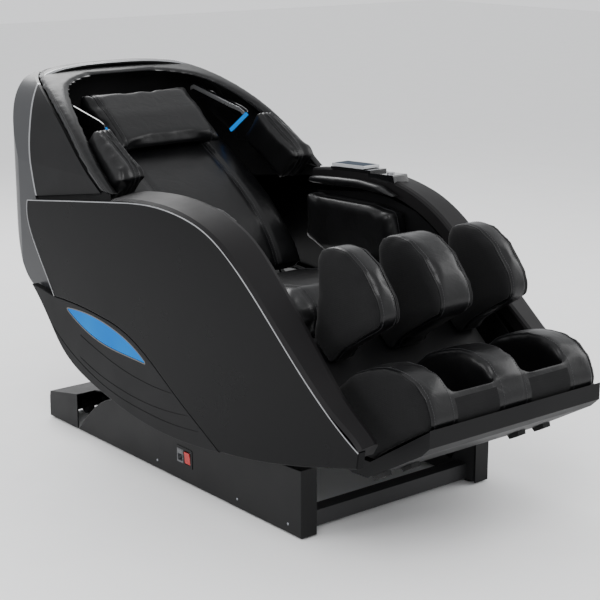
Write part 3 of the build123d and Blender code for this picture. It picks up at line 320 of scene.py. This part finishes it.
def inflated(obj, limit, pressure):
    """Cloth with air pressure inside, stopped before any point has gone further than the limit."""
    start = [point.co.copy() for point in obj.data.vertices]
    cloth = obj.modifiers.new("Cloth", "CLOTH")
    cloth.settings.use_pressure = True
    cloth.settings.uniform_pressure_force = pressure
    cloth.settings.effector_weights.gravity = 0.0
    cloth.settings.quality = 4
    scene = bpy.context.scene
    for step in range(1, CLOTH_FRAMES + 1):
        scene.frame_set(step)
    blown = evaluated_mesh(obj)
    obj.modifiers.clear()
    ends = [point.co.copy() for point in blown.vertices]
    scene.frame_set(1)
    for point, first, last in zip(obj.data.vertices, start, ends):
        travel = last - first
        if travel.length > limit:
            travel = travel.normalized() * limit
        point.co = first + travel
    # foam under the cover evens out the small lumps
    foam = obj.modifiers.new("Foam", "SMOOTH")
    foam.factor = 0.5
    foam.iterations = 7
    settled(obj)


def sewn(obj, field, levels, width=7.0, depth=4.0):
    """Pulls the cover in along the lines where field equals each level, in metres, like a sewn channel."""
    def inward(point, normal):
        nearest = min(abs(field(point) - level) for level in levels)
        reach = max(0.0, 1.0 - nearest / (width * MM))
        return -depth * MM * reach * reach * (3.0 - 2.0 * reach)
    moved(obj, inward)


def contour(obj, field, level, keep=None, lift=0.0):
    """The line on a mesh where field equals level, as points and edges of a new mesh."""
    shape = bmesh.new()
    shape.from_mesh(obj.data)
    shape.normal_update()
    values = [field(point.co) - level for point in shape.verts]
    crossing = {}
    points, edges = [], []
    for edge in shape.edges:
        a, b = edge.verts
        low, high = values[a.index], values[b.index]
        if (low < 0.0) != (high < 0.0):
            share = low / (low - high)
            place = a.co.lerp(b.co, share)
            if keep is None or keep(place):
                crossing[edge] = len(points)
                points.append(place + a.normal.lerp(b.normal, share).normalized() * lift)
    for face in shape.faces:
        ends = [crossing[edge] for edge in face.edges if edge in crossing]
        if len(ends) == 2:
            edges.append(ends)
    shape.free()
    return points, edges


def line_object(name, lines):
    """One mesh of edges from several lines of points."""
    points, edges = [], []
    for line_points, line_edges in lines:
        first = len(points)
        points += line_points
        edges += [(a + first, b + first) for a, b in line_edges]
    mesh = bpy.data.meshes.new(name)
    mesh.from_pydata(points, edges, [])
    return new_object(name, mesh, None)


# ---- geometry node trees -----------------------------------------------------------------------------


def new_tree(name, sockets):
    tree = bpy.data.node_groups.new(name, "GeometryNodeTree")
    tree.interface.new_socket("Geometry", in_out="INPUT", socket_type="NodeSocketGeometry")
    for label, kind in sockets:
        tree.interface.new_socket(label, in_out="INPUT", socket_type=kind)
    tree.interface.new_socket("Geometry", in_out="OUTPUT", socket_type="NodeSocketGeometry")
    return tree, add_node(tree, "NodeGroupInput")


def close_tree(tree, source, geometry):
    real = add_node(tree, "GeometryNodeRealizeInstances", {"Geometry": geometry})
    coloured = add_node(tree, "GeometryNodeSetMaterial",
                        {"Geometry": real.outputs[0], "Material": source.outputs["Material"]})
    add_node(tree, "NodeGroupOutput", {"Geometry": coloured.outputs[0]})
    return tree


def piping_tree():
    """A round cord of piping along lines."""
    tree, source = new_tree("Piping", [("Radius", "NodeSocketFloat"), ("Spacing", "NodeSocketFloat"),
                                       ("Material", "NodeSocketMaterial")])
    curve = add_node(tree, "GeometryNodeMeshToCurve", {"Mesh": source.outputs["Geometry"]})
    even = add_node(tree, "GeometryNodeResampleCurve", {"Curve": curve.outputs[0],
                                                        "Length": source.outputs["Spacing"]}, mode="LENGTH")
    ring = add_node(tree, "GeometryNodeCurvePrimitiveCircle",
                    {"Resolution": 8, "Radius": source.outputs["Radius"]})
    cord = add_node(tree, "GeometryNodeCurveToMesh", {"Curve": even.outputs[0],
                                                      "Profile Curve": ring.outputs[0], "Fill Caps": True})
    smooth = add_node(tree, "GeometryNodeSetShadeSmooth", {"Geometry": cord.outputs[0]})
    return close_tree(tree, source, smooth.outputs[0])


def stitch_tree():
    """Thread stitches lying along lines."""
    tree, source = new_tree("Stitches", [("Radius", "NodeSocketFloat"), ("Spacing", "NodeSocketFloat"),
                                         ("Length", "NodeSocketFloat"), ("Material", "NodeSocketMaterial")])
    curve = add_node(tree, "GeometryNodeMeshToCurve", {"Mesh": source.outputs["Geometry"]})
    even = add_node(tree, "GeometryNodeResampleCurve", {"Curve": curve.outputs[0],
                                                        "Length": source.outputs["Spacing"]}, mode="LENGTH")
    along = add_node(tree, "GeometryNodeInputTangent")
    turn = add_node(tree, "FunctionNodeAlignRotationToVector", {"Vector": along.outputs[0]}, axis="Z")
    thread = add_node(tree, "GeometryNodeMeshCylinder",
                      {"Vertices": 6, "Radius": source.outputs["Radius"], "Depth": source.outputs["Length"]})
    sown = add_node(tree, "GeometryNodeInstanceOnPoints",
                    {"Points": even.outputs[0], "Instance": thread.outputs[0], "Rotation": turn.outputs[0]})
    return close_tree(tree, source, sown.outputs[0])


def screw_tree():
    """Domed screw heads, one on each point."""
    tree, source = new_tree("Screws", [("Radius", "NodeSocketFloat"), ("Material", "NodeSocketMaterial")])
    head = add_node(tree, "GeometryNodeMeshUVSphere", {"Segments": 16, "Rings": 8,
                                                       "Radius": source.outputs["Radius"]})
    flat = add_node(tree, "GeometryNodeTransform", {"Geometry": head.outputs[0], "Scale": (0.4, 1.0, 1.0)})
    set_points = add_node(tree, "GeometryNodeMeshToPoints", {"Mesh": source.outputs["Geometry"]})
    sown = add_node(tree, "GeometryNodeInstanceOnPoints", {"Points": set_points.outputs[0],
                                                           "Instance": flat.outputs[0]})
    return close_tree(tree, source, sown.outputs[0])


def grown(obj, tree, finish, **sizes):
    """Runs a node tree on an object and keeps the result as its mesh."""
    modifier = obj.modifiers.new("Nodes", "NODES")
    modifier.node_group = tree
    sizes["Material"] = finishes[finish]
    for item in tree.interface.items_tree:
        if item.in_out == "INPUT" and item.name in sizes:
            modifier[item.identifier] = sizes[item.name]
    settled(obj)
    return obj


def piped(name, body, lines):
    """Piping along lines, riding on a body."""
    cord = grown(line_object(name, lines), bpy.data.node_groups["Piping"], "pu_leather_tight",
                 Radius=bpy.context.scene.chair_sizes.piping_radius, Spacing=6.0 * MM)
    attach(cord, body)


def stitched(name, body, lines):
    """Rows of stitches along lines, riding on a body."""
    pitch = bpy.context.scene.chair_sizes.stitch_pitch
    thread = grown(line_object(name, lines), bpy.data.node_groups["Stitches"], "bonded_thread",
                   Radius=0.5 * MM, Spacing=pitch, Length=0.62 * pitch)
    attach(thread, body)


def upholstered(obj, body, *nodes, fill=0.85):
    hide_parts(*nodes)
    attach(obj, body)


def across(point):
    return point.x


def from_middle(point):
    return abs(point.x)


# ---- settings ----------------------------------------------------------------------------------------


class ChairColours(bpy.types.PropertyGroup):
    leather: bpy.props.StringProperty(name="Leather", description="Seat and pad leather", default="#040405")
    panel: bpy.props.StringProperty(name="Arm panels", description="Arms' side panels", default="#020203")
    lower_panel: bpy.props.StringProperty(name="Lower panels", description="Lower arm panels",
                                          default="#0c0c0d")
    cap: bpy.props.StringProperty(name="Arm caps", description="Tops of the arms", default="#0f0e0f")
    shell: bpy.props.StringProperty(name="Back shell", description="Rear of the hood", default="#1d1e20")
    trim: bpy.props.StringProperty(name="Trims", description="Silver lines", default="#9b9c9e")
    base: bpy.props.StringProperty(name="Base", description="Base covers", default="#050506")
    remote: bpy.props.StringProperty(name="Remote", description="Remote", default="#b4b6b9")
    rocker: bpy.props.StringProperty(name="Rocker", description="Mains switch", default="#c01512")
    lamp: bpy.props.StringProperty(name="Lamps", description="Side and hood lamps", default="#007cf4")


class ChairSizes(bpy.types.PropertyGroup):
    stitch_pitch: bpy.props.FloatProperty(name="Stitch pitch", description="Stitch to stitch",
                                          default=7.0 * MM, unit="LENGTH")
    piping_radius: bpy.props.FloatProperty(name="Piping radius", description="Radius of the sewn-in cord",
                                           default=1.6 * MM, unit="LENGTH")
    floor_size: bpy.props.FloatProperty(name="Floor size", description="Side of the studio floor",
                                        default=30.0, unit="LENGTH")


# ---- pieces ------------------------------------------------------------------------------------------


class CHAIR_OT_finishes(bpy.types.Operator):
    """Gives every hard piece of the chair its finish."""
    bl_idname = "chair.finishes"
    bl_label = "Hard finishes"

    def execute(self, context):
        make_finishes(context.scene.chair_colours)
        for finish, names in CAD_FINISH.items():
            for name in names:
                for cad_slot in NODES[name].material_slots:
                    cad_slot.material = finishes[finish]
        piping_tree()
        stitch_tree()
        screw_tree()
        return {"FINISHED"}


class CHAIR_OT_seat(bpy.types.Operator):
    """Makes the seat cushion, crowned between its side seams."""
    bl_idname = "chair.seat"
    bl_label = "Seat cushion"

    def execute(self, context):
        cushion = padding("seat_cushion_cover", "seat_cushion", "pu_leather_black", voxel=9.0, rounds=10,
                          swell=14.0, pull=4.0)
        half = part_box("seat_cushion")[1][0]
        sewn(cushion, from_middle, [half - 70 * MM])
        upholstered(cushion, "seat", "seat_cushion")
        stitched("seat_cushion_stitching", "seat",
                 [contour(cushion, from_middle, half - inset * MM, lift=THREAD_LIFT) for inset in (64, 76)])
        return {"FINISHED"}


class CHAIR_OT_back(bpy.types.Operator):
    """Makes the backrest cushion and the head pillow on it."""
    bl_idname = "chair.back"
    bl_label = "Back cushion and pillow"

    def execute(self, context):
        cushion = padding("back_cushion_cover", "back_cushion", "pu_leather_black", voxel=10.0, rounds=10,
                          swell=5.0, pull=5.0)
        sewn(cushion, from_middle, [150 * MM], depth=6.0, width=10.0)
        upholstered(cushion, "back", "back_cushion")
        stitched("back_cushion_stitching", "back",
                 [contour(cushion, from_middle, level * MM, lift=THREAD_LIFT) for level in (144, 156)])

        pillow = padding("head_pillow_cover", "head_pillow", "pu_leather_black", voxel=8.0, rounds=14,
                         swell=14.0, pull=3.0)
        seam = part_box("head_pillow")[1][0] - 34 * MM
        sewn(pillow, from_middle, [seam], depth=5.0)
        upholstered(pillow, "back", "head_pillow", fill=0.7)
        piped("head_pillow_piping", "back", [contour(pillow, from_middle, seam)])
        stitched("head_pillow_stitching", "back",
                 [contour(pillow, from_middle, seam - 8 * MM, lift=THREAD_LIFT)])
        return {"FINISHED"}


class CHAIR_OT_arms(bpy.types.Operator):
    """Makes the forearm pads inside the arms."""
    bl_idname = "chair.arms"
    bl_label = "Forearm pads"

    def execute(self, context):
        pads = padding("arm_pad_covers", "arm_pads", "pu_leather_black", voxel=8.0, rounds=8, swell=6.0,
                       pull=3.0)
        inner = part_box("arm_pads")[1][0] - 30 * MM
        sewn(pads, from_middle, [inner], depth=2.5)
        upholstered(pads, "seat", "arm_pads")
        stitched("arm_pad_stitching", "seat", [contour(pads, from_middle, inner - 7 * MM, lift=THREAD_LIFT)])
        return {"FINISHED"}


class CHAIR_OT_shoulders(bpy.types.Operator):
    """Makes the shoulder pads: a flat face on layered air cushions."""
    bl_idname = "chair.shoulders"
    bl_label = "Shoulder pads"

    def execute(self, context):
        pads = padding("shoulder_pad_covers", "shoulder_pads", "pu_leather_black", voxel=7.0, rounds=6,
                       swell=5.0, pull=4.0)
        face = 270 * MM
        levels = [face + step * MM for step in (16, 30, 44)]
        sewn(pads, from_middle, levels, width=7.0, depth=8.0)
        upholstered(pads, "back", "shoulder_pads", fill=0.6)
        stitched("shoulder_pad_stitching", "back",
                 [contour(pads, from_middle, level + 6 * MM, lift=THREAD_LIFT) for level in levels[:2]])
        return {"FINISHED"}


class CHAIR_OT_calves(bpy.types.Operator):
    """Makes the three calf pads, each a leather band between two piped side seams."""
    bl_idname = "chair.calves"
    bl_label = "Calf pads"

    def execute(self, context):
        lines, threads = [], []
        for side in ("right", "middle", "left"):
            node = "calf_pad_" + side
            low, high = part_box(node)
            pad = padding(node + "_cover", node, "pu_leather_black", voxel=7.0, rounds=10, swell=4.5,
                          pull=1.0)
            seams = [low[0] + 15 * MM, high[0] - 15 * MM]
            sewn(pad, across, seams, width=7.0, depth=3.5)
            # the inset side panels are woven, the band between the seams is leather
            pad.data.materials.append(finishes["spacer_mesh_black"])
            for face in pad.data.polygons:
                if not seams[0] < face.center.x < seams[1]:
                    face.material_index = 1
            upholstered(pad, "legrest", node)
            for seam in seams:
                lines.append(contour(pad, across, seam, lift=PIPING_LIFT))
                inner = seam + (8 if seam == seams[0] else -8) * MM
                threads.append(contour(pad, across, inner, lift=THREAD_LIFT))
        piped("calf_pad_piping", "legrest", lines)
        stitched("calf_pad_stitching", "legrest", threads)
        return {"FINISHED"}


class CHAIR_OT_feet(bpy.types.Operator):
    """Makes the footrest's padding, with its wells lined in woven mesh."""
    bl_idname = "chair.feet"
    bl_label = "Foot pad"

    def execute(self, context):
        low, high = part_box("foot_pad")
        pad = padding("foot_pad_cover", "foot_pad", "pu_leather_black", voxel=7.5, rounds=5, swell=4.0,
                      pull=1.0)
        ends = high[0] - 14 * MM
        inner, outer = WELL_EDGES
        sewn(pad, from_middle, [ends], width=7.0, depth=3.5)
        pad.data.materials.append(finishes["spacer_mesh_black"])
        for face in pad.data.polygons:
            inside = inner + 4 * MM < abs(face.center.x) < outer - 4 * MM
            if abs(face.center.x) > ends or inside and face.center.z < high[2] - 60 * MM:
                face.material_index = 1
        upholstered(pad, "footrest", "foot_pad")
        piped("foot_pad_piping", "footrest", [contour(pad, from_middle, ends, lift=PIPING_LIFT)])
        top = low[2] + 130 * MM
        rows = [contour(pad, from_middle, level, keep=lambda place: place.z > top, lift=THREAD_LIFT)
                for level in (inner - 12 * MM, outer + 12 * MM, ends - 9 * MM)]
        stitched("foot_pad_stitching", "footrest", rows)
        return {"FINISHED"}


class CHAIR_OT_hood(bpy.types.Operator):
    """Makes the hood's padded rim with its rows of stitching."""
    bl_idname = "chair.hood"
    bl_label = "Hood rim"

    def execute(self, context):
        rim = padding("hood_rim_cover", "hood_rim", "pu_leather_tight", voxel=4.5, rounds=18, swell=3.0,
                      pull=1.0)
        low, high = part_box("hood_rim")
        bands = 60
        step = (high[2] - low[2]) / bands
        front = [None] * (bands + 1)
        for point in rim.data.vertices:
            band = int((point.co.z - low[2]) / step)
            band = min(max(band, 0), bands)
            if front[band] is None or point.co.y < front[band]:
                front[band] = point.co.y

        def behind_front(point):
            place = min(max((point.z - low[2]) / step - 0.5, 0.0), bands - 1.001)
            band = int(place)
            near, far = front[band], front[band + 1]
            near = far if near is None else near
            far = near if far is None else far
            return point.y - (near + (far - near) * (place - band))

        upholstered(rim, "back", "hood_rim", fill=0.95)
        stitched("hood_rim_stitching", "back",
                 [contour(rim, behind_front, offset * MM, lift=THREAD_LIFT) for offset in (24, 34)])
        return {"FINISHED"}


class CHAIR_OT_lining(bpy.types.Operator):
    """Lines the inside of the hood, closes its seam with flaps and trims the speaker panels."""
    bl_idname = "chair.lining"
    bl_label = "Hood lining and strips"

    def execute(self, context):
        cushion_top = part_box("back_cushion")[1]
        inside = Vector((0.0, cushion_top[1] - 220 * MM, cushion_top[2] - 200 * MM))
        shape = bmesh.new()
        for node in ("back_shell", "hood_side_right", "hood_side_left", "hood_trims"):
            shape.from_mesh(NODES[node].data)
        bmesh.ops.remove_doubles(shape, verts=shape.verts, dist=0.02 * MM)
        outer = [face for face in shape.faces
                 if face.normal.dot((inside - face.calc_center_median()).normalized()) < 0.25]
        bmesh.ops.delete(shape, geom=outer, context="FACES")
        mesh = bpy.data.meshes.new("hood_lining")
        shape.normal_update()
        for point in shape.verts:
            point.co += point.normal * 3 * MM
        shape.to_mesh(mesh)
        shape.free()
        lining = new_object("hood_lining", mesh, "spacer_mesh_black")
        thick = lining.modifiers.new("Thickness", "SOLIDIFY")
        thick.thickness = 2 * MM
        thick.offset = 1.0
        settled(lining)
        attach(lining, "back")

        # a flap inside the seam between hood and arm, so that no light comes through it
        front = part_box("hood_rim")[0]
        rear_y, rear_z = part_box("side_panel_left")[1][1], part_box("hood_side_left")[0][2]
        flap_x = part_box("hood_side_left")[1][0] - 8 * MM
        points, faces = [], []
        for sign in (-1, 1):
            first = len(points)
            for share in (0.04, 0.35, 0.7, 1.0):
                y = front[1] + share * (rear_y - front[1])
                z = front[2] + share * (rear_z - front[2])
                points += [(sign * flap_x, y, z + 10 * MM), (sign * flap_x, y, z - 24 * MM)]
            faces += [(i, i + 1, i + 3, i + 2) for i in range(first, len(points) - 2, 2)]
        mesh = bpy.data.meshes.new("hood_flaps")
        mesh.from_pydata(points, [], faces)
        flaps = new_object("hood_flaps", mesh, "spacer_mesh_black")
        thick = flaps.modifiers.new("Thickness", "SOLIDIFY")
        thick.thickness = 1.5 * MM
        settled(flaps)
        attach(flaps, "back")

        # a strip along the top edge of each speaker panel, from its rear corner to its front one
        low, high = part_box("speaker_panels")
        face_x = high[0] - 4.5 * MM
        width = 13 * MM
        edge = [(0.97, 0.9), (0.92, 0.95), (0.6, 0.8), (0.3, 0.66), (0.12, 0.59), (0.03, 0.5)]
        points, faces = [], []
        for sign in (-1, 1):
            first = len(points)
            for share_y, share_z in edge:
                y = low[1] + share_y * (high[1] - low[1])
                z = low[2] + share_z * (high[2] - low[2])
                points += [(sign * face_x, y, z), (sign * face_x, y + 0.15 * width, z - width)]
            for i in range(first, len(points) - 2, 2):
                faces.append((i, i + 1, i + 3, i + 2) if sign > 0 else (i, i + 2, i + 3, i + 1))
        mesh = bpy.data.meshes.new("hood_strips")
        mesh.from_pydata(points, [], faces)
        strips = new_object("hood_strips", mesh, "silver_paint")
        thick = strips.modifiers.new("Thickness", "SOLIDIFY")
        thick.thickness = 3 * MM
        thick.offset = 1.0
        round_edges = strips.modifiers.new("Edges", "BEVEL")
        round_edges.width = 0.8 * MM
        round_edges.segments = 2
        settled(strips)
        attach(strips, "back")
        return {"FINISHED"}


class CHAIR_OT_screws(bpy.types.Operator):
    """Makes the screws that hold the base covers to the rails."""
    bl_idname = "chair.screws"
    bl_label = "Base screws"

    def execute(self, context):
        low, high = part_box("base_cover_right")
        points = []
        for x in (low[0], -low[0]):
            for share in (0.05, 0.25, 0.6):
                points.append((x, low[1] + share * (high[1] - low[1]), low[2] + 25 * MM))
        screws = grown(line_object("base_screws", [(points, [])]), bpy.data.node_groups["Screws"],
                       "zinc_plate", Radius=4.0 * MM)
        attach(screws, "base")
        return {"FINISHED"}


class CHAIR_OT_display(bpy.types.Operator):
    """Lays the dark glass of the display on the remote's top face."""
    bl_idname = "chair.display"
    bl_label = "Remote display"

    def execute(self, context):
        data = NODES["remote"].data
        up = max(data.polygons, key=lambda face: face.area * max(face.normal.z, 0.0)).normal.copy()
        corners = [data.vertices[i].co for face in data.polygons if face.normal.dot(up) > 0.999
                   for i in face.vertices]
        side = Vector((1.0, 0.0, 0.0))
        along = up.cross(side)
        widths = [corner.dot(side) for corner in corners]
        lengths = [corner.dot(along) for corner in corners]
        height = max(corner.dot(up) for corner in corners)
        margin = 5 * MM
        right, left = min(widths) + margin, max(widths) - margin
        near, far = min(lengths) + margin, max(lengths) - margin
        points = []
        for lift in (0.35 * MM, 0.9 * MM):
            for x, y in ((right, near), (left, near), (left, far), (right, far)):
                points.append(side * x + along * y + up * (height + lift))
        mesh = bpy.data.meshes.new("remote_display")
        mesh.from_pydata(points, [], [(3, 2, 1, 0), (4, 5, 6, 7), (0, 1, 5, 4), (1, 2, 6, 5), (2, 3, 7, 6),
                                      (3, 0, 4, 7)])
        glass = new_object("remote_display", mesh, "display_glass")
        rounded = glass.modifiers.new("Edges", "BEVEL")
        rounded.width = 0.2 * MM
        settled(glass)
        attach(glass, "remote_slate")
        return {"FINISHED"}


# name, place, size of the square panel, watts
STUDIO_LIGHTS = (("key", (-2.2, -2.6, 3.4), 2.4, 120.0), ("fill", (3.4, -1.6, 2.4), 2.6, 70.0),
                 ("back", (0.8, 3.4, 3.0), 2.2, 90.0), ("side", (-3.6, 0.8, 1.6), 1.8, 45.0))


class CHAIR_OT_stage(bpy.types.Operator):
    """Makes the floor, the studio lights and the camera."""
    bl_idname = "chair.stage"
    bl_label = "Stage"

    def execute(self, context):
        scene = context.scene
        half = scene.chair_sizes.floor_size / 2
        mesh = bpy.data.meshes.new("floor")
        mesh.from_pydata([(-half, -half, 0), (half, -half, 0), (half, half, 0), (-half, half, 0)], [],
                         [(0, 1, 2, 3)])
        moulded("studio_floor", "#f4f4f4", "#eeeeee", 0.6, 0.7, 6.0, 0.05)
        new_object("floor", mesh, "studio_floor")

        world = bpy.data.worlds.new("Studio")
        scene.world = world
        world.use_nodes = True
        sky = world.node_tree.nodes["Background"]
        sky.inputs["Color"].default_value = linear("#f5f6f8")
        sky.inputs["Strength"].default_value = 1.25

        centre = Vector((0.0, 0.0, 0.6))
        for name, place, size, power in STUDIO_LIGHTS:
            data = bpy.data.lights.new(name, "AREA")
            data.size = size
            data.energy = power
            lit = bpy.data.objects.new(name, data)
            lit.location = place
            lit.rotation_euler = (centre - Vector(place)).to_track_quat("-Z", "Y").to_euler()
            scene.collection.objects.link(lit)

        camera = bpy.data.objects.new("camera", bpy.data.cameras.new("camera"))
        camera.location = (-2.67895, -3.39788, 1.61157)
        camera.rotation_euler = (radians(75.406), 0.0, radians(-38.906))
        camera.data.lens = 93.0
        camera.data.sensor_width = 36.0
        scene.collection.objects.link(camera)
        scene.camera = camera
        return {"FINISHED"}


class CHAIR_PT_panel(bpy.types.Panel):
    """Lists the chair's sizes, colours and pieces."""
    bl_label = "Massage Chair"
    bl_idname = "CHAIR_PT_panel"
    bl_space_type = "VIEW_3D"
    bl_region_type = "UI"
    bl_category = "Massage Chair"

    def draw(self, context):
        for group in (context.scene.chair_sizes, context.scene.chair_colours):
            for field in group.__annotations__:
                self.layout.prop(group, field)
        for operator in OPERATORS:
            self.layout.operator(operator.bl_idname)


OPERATORS = (CHAIR_OT_finishes, CHAIR_OT_seat, CHAIR_OT_back, CHAIR_OT_arms, CHAIR_OT_shoulders,
             CHAIR_OT_calves, CHAIR_OT_feet, CHAIR_OT_hood, CHAIR_OT_lining, CHAIR_OT_screws,
             CHAIR_OT_display, CHAIR_OT_stage)
CLASSES = (ChairColours, ChairSizes, *OPERATORS, CHAIR_PT_panel)


def register():
    for made in CLASSES:
        bpy.utils.register_class(made)
    bpy.types.Scene.chair_colours = bpy.props.PointerProperty(type=ChairColours)
    bpy.types.Scene.chair_sizes = bpy.props.PointerProperty(type=ChairSizes)


def unregister():
    del bpy.types.Scene.chair_sizes
    del bpy.types.Scene.chair_colours
    for made in reversed(CLASSES):
        bpy.utils.unregister_class(made)


def main():
    register()
    for operator in OPERATORS:
        getattr(bpy.ops.chair, operator.bl_idname.split(".")[1])()


if __name__ == "__main__":
    main()
